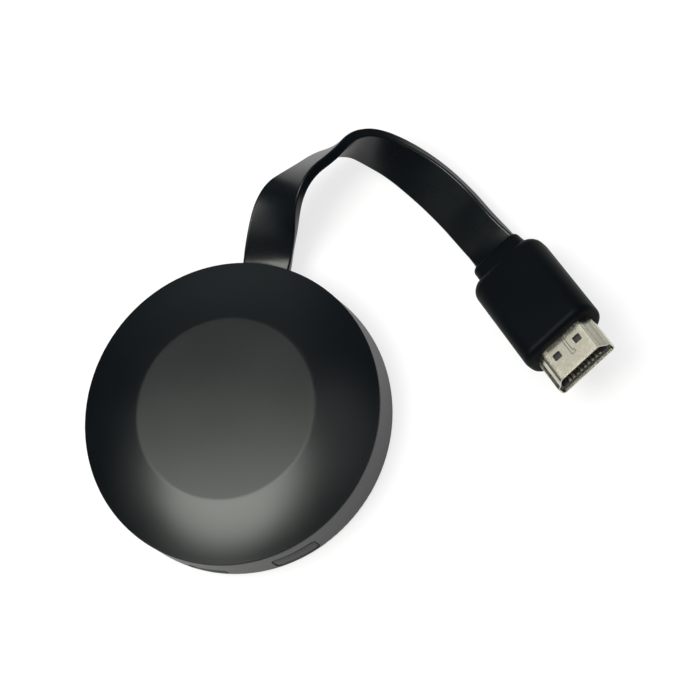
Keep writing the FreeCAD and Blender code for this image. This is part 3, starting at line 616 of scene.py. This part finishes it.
def lofted(name, rings, distances):
    """A closed mesh through rings of points, with a UV map of length along and length around."""
    mesh = bpy.data.meshes.new(name)
    shape = bmesh.new()
    layer = shape.loops.layers.uv.new("Jacket")
    rows = [[shape.verts.new(place) for place in ring] for ring in rings]
    count = len(rings[0])
    around = [0.0]
    for number in range(count):
        step = rings[0][(number + 1) % count] - rings[0][number]
        around.append(around[-1] + step.length)
    for first, second, near, far in zip(rows, rows[1:], distances, distances[1:]):
        for number in range(count):
            following = (number + 1) % count
            corners = (first[number], first[following], second[following], second[number])
            face = shape.faces.new(corners)
            places = (
                (near, around[number]),
                (near, around[number + 1]),
                (far, around[number + 1]),
                (far, around[number]),
            )
            for loop, place in zip(face.loops, places):
                loop[layer].uv = place
    shape.faces.new(list(reversed(rows[0])))
    shape.faces.new(rows[-1])
    bmesh.ops.recalc_face_normals(shape, faces=shape.faces)
    shape.to_mesh(mesh)
    shape.free()
    piece = bpy.data.objects.new(name, mesh)
    bpy.context.scene.collection.objects.link(piece)
    return piece


class DONGLE_OT_flat_cable(bpy.types.Operator):
    """Build the flat cable along its route"""

    bl_idname = "dongle.flat_cable"
    bl_label = "Flat cable"

    def execute(self, context):
        sizes = settings().cable
        points = read_spline("route", CABLE_ROUTE)
        rolls = read_spline("roll", [(math.radians(roll), 0.0, 0.0) for roll in CABLE_ROLL])
        turns = [roll.x for roll in rolls]
        outline = flat_section(sizes.width / 2, sizes.thickness / 2, sizes.edge)
        distances = [0.0]
        for before, after in zip(points, points[1:]):
            distances.append(distances[-1] + (after - before).length)
        cable = lofted("flat_cable", cable_rings(points, turns, outline), distances)
        hand_over(cable, "drawn_jacket", "dongle", "ribbon_cable", degrees=50)
        return {"FINISHED"}


def ring_slope(cover, steps=20):
    """The sloping ring's outline from the disc to the rim, a little convex, without its ends."""
    start = Vector((cover.disc, cover.height))
    end = Vector((cover.radius - cover.rim, cover.ring_low))
    chord = end - start
    out = Vector((-chord.y, chord.x)).normalized()
    slope = []
    for step in range(1, steps):
        share = step / steps
        place = start + chord * share + out * 4 * cover.bulge * share * (1 - share)
        slope.append((place.x, place.y, 0))
    return slope


class DONGLE_OT_cover(bpy.types.Operator):
    """Turn the domed cover, with its lip and snap bead"""

    bl_idname = "dongle.cover"
    bl_label = "Cover"

    def execute(self, context):
        cover = settings().cover
        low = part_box("top_cover")[0].z
        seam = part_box("bottom_case")[1].z
        lip_outer = 30.95 * MM
        lip_inner = 29.4 * MM
        bead = 0.35 * MM
        bead_low = low + 0.1 * MM
        bead_middle = low + 0.35 * MM
        bead_high = low + 0.6 * MM
        seam_chamfer = 0.2 * MM
        rim_drop = 0.3 * cover.rim
        rim_reach = 0.4 * cover.rim
        under = cover.height - cover.wall
        under_disc = cover.disc - 0.2 * cover.wall
        pole = 1.5 * MM
        # Each corner's radius and height, and the reach of its rounding
        outline = [
            (pole, cover.height, 0),
            (cover.disc, cover.height, cover.disc_blend),
            *ring_slope(cover),
            (cover.radius - cover.rim, cover.ring_low, 0),
            (cover.radius, cover.ring_low - rim_drop, rim_reach),
            (cover.radius, seam + seam_chamfer, 0),
            (cover.radius - seam_chamfer, seam, 0),
            (lip_outer, seam, 0),
            (lip_outer, bead_high, 0),
            (lip_outer + bead, bead_middle, 0),
            (lip_outer, bead_low, 0),
            (lip_outer, low, 0),
            (lip_inner, low, 0),
            (lip_inner, seam, 0),
            (under_disc, under, 0),
            (pole, under, 0),
        ]
        piece = turned("domed_cover", rounded(outline), steps=256)
        hand_over(piece, "satin_cover", "dongle", "top_cover", degrees=28)
        return {"FINISHED"}


class DONGLE_OT_side_button(bpy.types.Operator):
    """Shape the side button, with its flange and nose"""

    bl_idname = "dongle.side_button"
    bl_label = "Side button"

    def execute(self, context):
        sizes = settings().button
        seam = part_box("bottom_case")[1].z
        # Distances from the case's axis
        nose_back = 28.75 * MM
        flange_back = 29.2 * MM
        face_back = 29.95 * MM
        flange_front = 30.25 * MM
        beyond = sizes.foot + 1 * MM
        # Half widths, and heights above the table
        half = sizes.width / 2
        high = sizes.low + sizes.height
        flange_half = 6.0 * MM
        flange_low = 1.42 * MM
        flange_high = 3.83 * MM
        nose_half = 1.6 * MM
        nose_low = 2.2 * MM
        nose_high = 3.6 * MM

        body = block("button_face", (face_back, -half, sizes.low), (beyond, half, high))
        soften(body, along(0), sizes.corner, steps=6)
        deselect()
        bpy.ops.mesh.primitive_cone_add(
            vertices=720, radius1=sizes.foot, radius2=sizes.rim, depth=seam, location=(0, 0, seam / 2)
        )
        cut(body, bpy.context.active_object, "INTERSECT")

        def face_edge(edge):
            for vertex in edge.verts:
                surface = sizes.foot + (sizes.rim - sizes.foot) * vertex.co.z / seam
                if abs(vertex.co.xy.length - surface) > HAIR:
                    return False
            return edge.calc_face_angle(0.0) > math.radians(45)

        soften(body, face_edge, sizes.edge, steps=3)
        corner = (flange_front, flange_half, flange_high)
        cut(body, block("flange", (flange_back, -flange_half, flange_low), corner), "UNION")
        corner = (flange_back + HAIR, nose_half, nose_high)
        cut(body, block("nose", (nose_back, -nose_half, nose_low), corner), "UNION")
        body.rotation_euler.z = math.radians(BUTTON_TURN)
        settle(body)
        hand_over(body, "satin_button", "button", "mode_button")
        return {"FINISHED"}


def plug_frame():
    """The plug's own frame: its origin on the grip's front face, x along the cable's last run."""
    plug = settings().plug
    axis = (Vector(CABLE_ROUTE[-1]) - Vector(CABLE_ROUTE[-2])).normalized()
    level = Vector((0, 0, 1)).cross(axis).normalized()
    across = Matrix.Rotation(math.radians(PLUG_ROLL), 3, axis) @ level
    out = axis.cross(across)
    origin = Vector(CABLE_ROUTE[-1]) + axis * (plug.grip_length + plug.relief_length)
    return Matrix.Translation(origin) @ Matrix((axis, across, out)).transposed().to_4x4()


def set_on_plug(piece):
    """Put a piece that was shaped in the plug's own frame in its place."""
    piece.matrix_world = plug_frame()
    settle(piece)


def shell_levels(inset):
    """The shell's half width at each height of its section, from the narrow side down."""
    plug = settings().plug
    top = plug.shell_height / 2 - inset
    half = plug.shell_width / 2 - inset
    narrow_half = 4.45 * MM - 0.4 * inset
    shoulder_half = 5.2 * MM - 0.6 * inset
    flank_half = 6.2 * MM - inset
    shoulder = 0.2 * MM
    flank_foot = 0.72 * MM
    side_top = 0.42 * MM
    chamfer = 0.5 * MM
    return [
        (top, narrow_half),
        (top - shoulder, shoulder_half),
        (flank_foot, flank_half),
        (side_top, half),
        (chamfer - top, half),
        (-top, half - chamfer),
    ]


def shell_form(name, back, front, inset):
    """A solid of the shell's section, drawn in by an inset: a box whose levels are moved in."""
    levels = shell_levels(inset)
    top, bottom = levels[0][0], levels[-1][0]
    half = max(width for height, width in levels)
    form = block(name, (back, -half, bottom), (front, half, top))
    take(form)
    bpy.ops.object.mode_set(mode="EDIT")
    for height, width in levels[1:-1]:
        bpy.ops.mesh.select_all(action="SELECT")
        bpy.ops.mesh.bisect(plane_co=(0, 0, height), plane_no=(0, 0, 1))
    for height, width in levels:
        select_where(form, "VERT", lambda vertex: abs(vertex.co.z - height) < TOUCH)
        bpy.ops.transform.resize(value=(1, width / half, 1), center_override=(0, 0, height))
    bpy.ops.object.mode_set(mode="OBJECT")
    return form


def fold(edge):
    """Whether an edge is one of the shell form's lengthwise folds."""
    return along(0)(edge) and edge.calc_face_angle(0.0) > math.radians(4)


def window_posts(name, width, low, high, corner):
    """A cutter at both latch windows: two upright posts, with round corners if corner isn't 0."""
    plug = settings().plug
    half = width / 2
    posts = []
    for middle in (-plug.window_across, plug.window_across):
        first = (plug.window_along - half, middle - half, low)
        last = (plug.window_along + half, middle + half, high)
        post = block(name, first, last)
        if corner:
            soften(post, along(2), corner, steps=3)
        posts.append(post)
    return gather(name, posts)


def contact_blocks(name, row, width, back, front, near, far):
    """A block at each contact of a row, from near to far off the plug's middle, all as one piece."""
    count, side = row
    pitch = settings().plug.pitch
    low, high = sorted((side * near, side * far))
    blocks = []
    for number in range(count):
        middle = (number - (count - 1) / 2) * pitch
        first = (back, middle - width / 2, low)
        blocks.append(block(name, first, (front, middle + width / 2, high)))
    return gather(name, blocks)


class DONGLE_OT_plug_grip(bpy.types.Operator):
    """Shape the plug's grip, hollow for what it holds, and the strain relief behind it"""

    bl_idname = "dongle.plug_grip"
    bl_label = "Plug grip"

    def execute(self, context):
        plug = settings().plug
        back = -plug.grip_length
        root = -plug.shell_root
        hollow_length = 14.0 * MM
        hollow_width = 13.4 * MM
        hollow_height = 5.6 * MM
        beyond = 1.0 * MM
        grip = bar("plug_grip", back, 0.0, plug.grip_width, plug.grip_thickness)
        soften(grip, along(0), plug.grip_corner, steps=12)
        soften(grip, at(0, back), plug.grip_rear, steps=8)
        soften(grip, at(0, 0.0), plug.grip_front, steps=6)
        cut(grip, bar("hollow", root - hollow_length, root, hollow_width, hollow_height))
        cut(grip, shell_form("mouth", root - HAIR, beyond, -HAIR))
        set_on_plug(grip)
        hand_over(grip, "soft_grip", "dongle", "plug_overmould")

        relief_back = back - plug.relief_length
        relief_corner = 1.6 * MM
        relief_rear = 1.1 * MM
        relief = bar("plug_relief", relief_back, back, plug.relief_width, plug.relief_thickness)
        soften(relief, along(0), relief_corner, steps=8)
        soften(relief, at(0, relief_back), relief_rear, steps=6)
        set_on_plug(relief)
        hand_over(relief, "soft_grip", "dongle", "strain_relief")
        return {"FINISHED"}


def seam_grooves():
    """Cutters for the shell's folded seam: two fine lines from the grip, joined round a notch."""
    top = settings().plug.shell_height / 2
    half = 0.07 * MM
    back = -0.5 * MM
    first_side = -0.05 * MM
    first_end = 5.1 * MM
    second_side = 0.52 * MM
    second_end = 4.4 * MM
    notch_side = second_side + 0.35 * MM
    notch_edge = notch_side + 2 * half
    # The least and greatest x and y of each groove
    grooves = [
        (back, first_end + half, first_side - half, first_side + half),
        (back, second_end, second_side - half, second_side + half),
        (second_end - half, second_end + half, second_side - half, notch_side),
        (second_end - half, first_end + half, notch_side, notch_edge),
        (first_end - half, first_end + half, first_side - half, notch_edge),
    ]
    cutters = []
    for x_low, x_high, y_low, y_high in grooves:
        low = (x_low, y_low, top - SEAM_DEPTH)
        cutters.append(block("groove", low, (x_high, y_high, top + SEAM_DEPTH)))
    return cutters


class DONGLE_OT_plug_shell(bpy.types.Operator):
    """Fold the plug's metal shell, with its seam and latch windows"""

    bl_idname = "dongle.plug_shell"
    bl_label = "Plug shell"

    def execute(self, context):
        plug = settings().plug
        mouth = plug.shell_reach
        fold_round = 0.32 * MM
        window_low = 1.0 * MM
        window_corner = 0.25 * MM
        mouth_round = 0.08 * MM
        shell = shell_form("folded_shell", -plug.shell_root, mouth, 0.0)
        soften(shell, fold, fold_round, steps=5)
        take(shell)
        bpy.ops.object.mode_set(mode="EDIT")
        select_where(shell, "FACE", lambda face: abs(face.normal.x) > 0.9)
        bpy.ops.mesh.delete(type="FACE")
        bpy.ops.object.mode_set(mode="OBJECT")
        wall = shell.modifiers.new("sheet", "SOLIDIFY")
        wall.thickness = plug.shell_sheet
        wall.offset = -1.0
        wall.use_even_offset = True
        bpy.ops.object.modifier_apply(modifier=wall.name)
        cut(shell, window_posts("windows", plug.window, window_low, plug.shell_height, window_corner))
        for groove in seam_grooves():
            cut(shell, groove)

        def mouth_edge(edge):
            return at(0, mouth)(edge) and edge.calc_face_angle(0.0) > math.radians(60)

        soften(shell, mouth_edge, mouth_round, steps=3)
        groove_floor = plug.shell_height / 2 - SEAM_DEPTH
        seam_shade_faces = [face.index for face in shell.data.polygons if abs(face.center.z - groove_floor) < HAIR]
        set_on_plug(shell)
        hand_over(shell, "bright_nickel", "dongle", "plug_shell", degrees=25)
        # The grooves are too fine to shade themselves, so their floors get the insulator's black as painted
        # shade
        shell.data.materials.append(bpy.data.materials["insulator_black_and_seam_shade"])
        for number in seam_shade_faces:
            shell.data.polygons[number].material_index = 1
        return {"FINISHED"}


class DONGLE_OT_plug_insulator(bpy.types.Operator):
    """Shape the insulator in the plug's mouth, with a notch for each contact"""

    bl_idname = "dongle.plug_insulator"
    bl_label = "Plug insulator"

    def execute(self, context):
        plug = settings().plug
        # Places along the plug
        root = -plug.shell_root
        slot_back = 0.5 * MM
        front = plug.shell_reach - 0.5 * MM
        beyond = front + 1 * MM
        notch_back = front - 1.3 * MM
        strip_back = root - 0.2 * MM
        strip_front = notch_back + HAIR
        # Heights off the plug's middle
        slot_height = 0.95 * MM
        near = slot_height - 0.1 * MM
        notch_far = slot_height + 0.5 * MM
        strip_far = slot_height + 0.22 * MM
        well_low = 1.5 * MM
        well_high = 3 * MM
        # Widths
        slot_width = 11.6 * MM
        well_width = plug.window + 0.2 * MM
        notch_width = 0.62 * MM
        strip_width = 0.52 * MM

        insulator = shell_form("mouth_insulator", root, front, plug.shell_sheet + HAIR)
        cut(insulator, bar("slot", slot_back, beyond, slot_width, 2 * slot_height))
        cut(insulator, window_posts("wells", well_width, well_low, well_high, 0))
        for row in CONTACT_ROWS.values():
            cut(insulator, contact_blocks("notches", row, notch_width, notch_back, beyond, near, notch_far))
            strips = contact_blocks("strips", row, strip_width, strip_back, strip_front, near, strip_far)
            cut(insulator, strips)
        set_on_plug(insulator)
        hand_over(insulator, "insulator_black_and_seam_shade", "dongle", "plug_insulator")
        return {"FINISHED"}


class DONGLE_OT_plug_contacts(bpy.types.Operator):
    """Shape the plug's two rows of contacts, with a pad at the front of each blade"""

    bl_idname = "dongle.plug_contacts"
    bl_label = "Plug contacts"

    def execute(self, context):
        plug = settings().plug
        back = -plug.shell_root
        front = plug.shell_reach - 0.75 * MM
        pad_back = plug.shell_reach - 1.7 * MM
        width = 0.5 * MM
        # Heights off the plug's middle
        near = 0.92 * MM
        blade_far = 1.12 * MM
        pad_far = 1.38 * MM
        for node, row in CONTACT_ROWS.items():
            contacts = contact_blocks(f"{node}_row", row, width, back, front, near, blade_far)
            cut(contacts, contact_blocks("pads", row, width, pad_back, front, near, pad_far), "UNION")
            set_on_plug(contacts)
            hand_over(contacts, "contact_gold", "dongle", node)
        return {"FINISHED"}


def area_lamp(name, place, aim, shape, width, strength, tint):
    """A soft lamp at a place, that shines at a point and doesn't show in the picture."""
    lamp = bpy.data.lights.new(name, "AREA")
    lamp.shape = shape
    lamp.size = width
    lamp.energy = strength
    lamp.color = tint
    holder = bpy.data.objects.new(name, lamp)
    bpy.context.scene.collection.objects.link(holder)
    holder.location = place
    holder.rotation_euler = (Vector(aim) - Vector(place)).to_track_quat("-Z", "Y").to_euler()
    holder.visible_camera = False
    return holder


def floor_finish():
    """A grey floor that glows white to the eye and pale in reflections, and keeps the shadow."""
    finish = bpy.data.materials.new("studio_floor")
    finish.use_nodes = True
    tree = finish.node_tree
    tree.nodes.clear()
    rays = tree.nodes.new("ShaderNodeLightPath")
    glows = {"Is Camera Ray": 0.72, "Is Glossy Ray": 0.48, "Is Transmission Ray": 0.72}
    share = None
    for ray, strength in glows.items():
        seen = tree.nodes.new("ShaderNodeMath")
        seen.operation = "MULTIPLY_ADD"
        seen.inputs[1].default_value = strength
        seen.inputs[2].default_value = 0.0
        tree.links.new(rays.outputs[ray], seen.inputs[0])
        if share is not None:
            tree.links.new(share.outputs[0], seen.inputs[2])
        share = seen
    glow = tree.nodes.new("ShaderNodeEmission")
    tree.links.new(share.outputs[0], glow.inputs["Strength"])
    paint = tree.nodes.new("ShaderNodeBsdfDiffuse")
    paint.inputs["Color"].default_value = (0.32, 0.32, 0.32, 1.0)
    both = tree.nodes.new("ShaderNodeAddShader")
    tree.links.new(glow.outputs[0], both.inputs[0])
    tree.links.new(paint.outputs[0], both.inputs[1])
    output = tree.nodes.new("ShaderNodeOutputMaterial")
    tree.links.new(both.outputs[0], output.inputs["Surface"])


def make_world():
    """A dim studio that grows paler behind the object, up high and on its left."""
    world = bpy.data.worlds.new("studio")
    bpy.context.scene.world = world
    world.use_nodes = True
    tree = world.node_tree
    sky = tree.nodes["Background"]
    way = tree.nodes.new("ShaderNodeTexCoord")
    parts = tree.nodes.new("ShaderNodeSeparateXYZ")
    tree.links.new(way.outputs["Generated"], parts.inputs["Vector"])
    dim = 0.04
    right = 0.1
    bright = 0.5
    aloft = eased(tree, parts.outputs["Z"], start=0.25, end=0.6, low=dim, high=bright)
    aside = eased(tree, parts.outputs["X"], start=-0.35, end=0.1, low=aloft, high=right)
    behind = eased(tree, parts.outputs["Y"], start=0.2, end=0.75, low=dim, high=aside)
    sky.inputs["Color"].default_value = (0.88, 1.0, 1.0, 1.0)
    tree.links.new(behind, sky.inputs["Strength"])


def metal_lamps():
    """Four soft panels round the plug that light its metal alone."""
    metals = bpy.data.collections.new("plug_metals")
    metals.objects.link(bpy.data.objects["folded_shell"])
    middle = plug_frame().translation
    distance = 0.6
    width = 0.8
    tint = (1.0, 0.98, 0.92)
    rise = math.radians(34)
    first_turn = 154
    for number, strength in enumerate((1.0, 0.6, 0.3, 0.5)):
        turn = math.radians(first_turn - 90 * number)
        way = Vector((math.cos(rise) * math.cos(turn), math.cos(rise) * math.sin(turn), math.sin(rise)))
        place = middle + way * distance
        panel = area_lamp(f"panel_{number}", place, middle, "SQUARE", width, strength, tint)
        panel.light_linking.receiver_collection = metals


def studio_lamps():
    """A round key lamp, two faint ones at its side and before it, and a wide fill lamp above."""
    studio = settings().studio
    middle = Vector((0.01, 0.01, 0.0))
    # Each lamp's way from the middle, a metre off, its width, its power and its tint
    round_lamps = {
        "key": ((-0.28, -0.16, 0.95), 0.55, studio.key, (0.96, 1.0, 0.91)),
        "side": ((0.14, 0.08, 0.98), 0.5, studio.side, (0.96, 1.0, 0.98)),
        "front": ((-0.3, -0.58, 0.76), 0.5, studio.side, (0.96, 1.0, 0.98)),
    }
    for name, (way, width, strength, tint) in round_lamps.items():
        place = middle + Vector(way).normalized()
        area_lamp(name, place, middle, "DISK", width, strength, tint)
    above = Vector((0.0, 0.0, 1.5))
    fill = area_lamp("fill", above, middle, "SQUARE", 2.0, studio.fill, (1.0, 1.0, 1.0))
    fill.visible_glossy = False


def set_camera():
    """Stand the camera in its place and turn it to its aim."""
    studio = settings().studio
    scene = bpy.context.scene
    lens = bpy.data.cameras.new("camera")
    lens.lens = studio.lens
    lens.sensor_width = 36.0
    lens.clip_start = 0.01
    camera = bpy.data.objects.new("camera", lens)
    scene.collection.objects.link(camera)
    place = Vector(studio.camera_place)
    forward = (Vector(studio.camera_aim) - place).normalized()
    right = forward.cross(Vector(studio.camera_up)).normalized()
    up = right.cross(forward)
    turn = Matrix((right, up, -forward)).transposed().to_4x4()
    camera.matrix_world = Matrix.Translation(place) @ turn
    scene.camera = camera


class DONGLE_OT_stage(bpy.types.Operator):
    """Set the floor, the lamps and the camera"""

    bl_idname = "dongle.stage"
    bl_label = "Stage"

    def execute(self, context):
        deselect()
        floor_drop = 0.1 * MM
        bpy.ops.mesh.primitive_plane_add(size=12.0, location=(0, 0, -floor_drop))
        floor = context.active_object
        floor.name = "floor"
        floor_finish()
        wear(floor, "studio_floor")
        make_world()
        studio_lamps()
        metal_lamps()
        set_camera()
        context.scene.view_settings.view_transform = "Standard"
        return {"FINISHED"}


STEPS = [
    DONGLE_OT_frame_finishes,
    DONGLE_OT_cover,
    DONGLE_OT_side_button,
    DONGLE_OT_plug_grip,
    DONGLE_OT_plug_shell,
    DONGLE_OT_plug_insulator,
    DONGLE_OT_plug_contacts,
    DONGLE_OT_flat_cable,
    DONGLE_OT_stage,
]


class DONGLE_PT_sidebar(bpy.types.Panel):
    """The dongle's pieces in the sidebar"""

    bl_idname = "DONGLE_PT_sidebar"
    bl_label = "Dongle"
    bl_space_type = "VIEW_3D"
    bl_region_type = "UI"
    bl_category = "Dongle"

    def draw(self, context):
        for step in STEPS:
            self.layout.operator(step.bl_idname)


GROUPS = [DongleCover, DongleButton, DongleCable, DonglePlug, DongleFinish, DongleStudio]
CLASSES = [*GROUPS, DongleSettings, *STEPS, DONGLE_PT_sidebar]


def register():
    for kind in CLASSES:
        bpy.utils.register_class(kind)
    bpy.types.Scene.dongle_settings = PointerProperty(type=DongleSettings)


def unregister():
    del bpy.types.Scene.dongle_settings
    for kind in reversed(CLASSES):
        bpy.utils.unregister_class(kind)


def main():
    """Build the dongle and its stage."""
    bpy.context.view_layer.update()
    register()
    bpy.ops.dongle.frame_finishes()
    bpy.ops.dongle.cover()
    bpy.ops.dongle.side_button()
    bpy.ops.dongle.plug_grip()
    bpy.ops.dongle.plug_shell()
    bpy.ops.dongle.plug_insulator()
    bpy.ops.dongle.plug_contacts()
    bpy.ops.dongle.flat_cable()
    bpy.ops.dongle.stage()


if __name__ == "__main__":
    main()
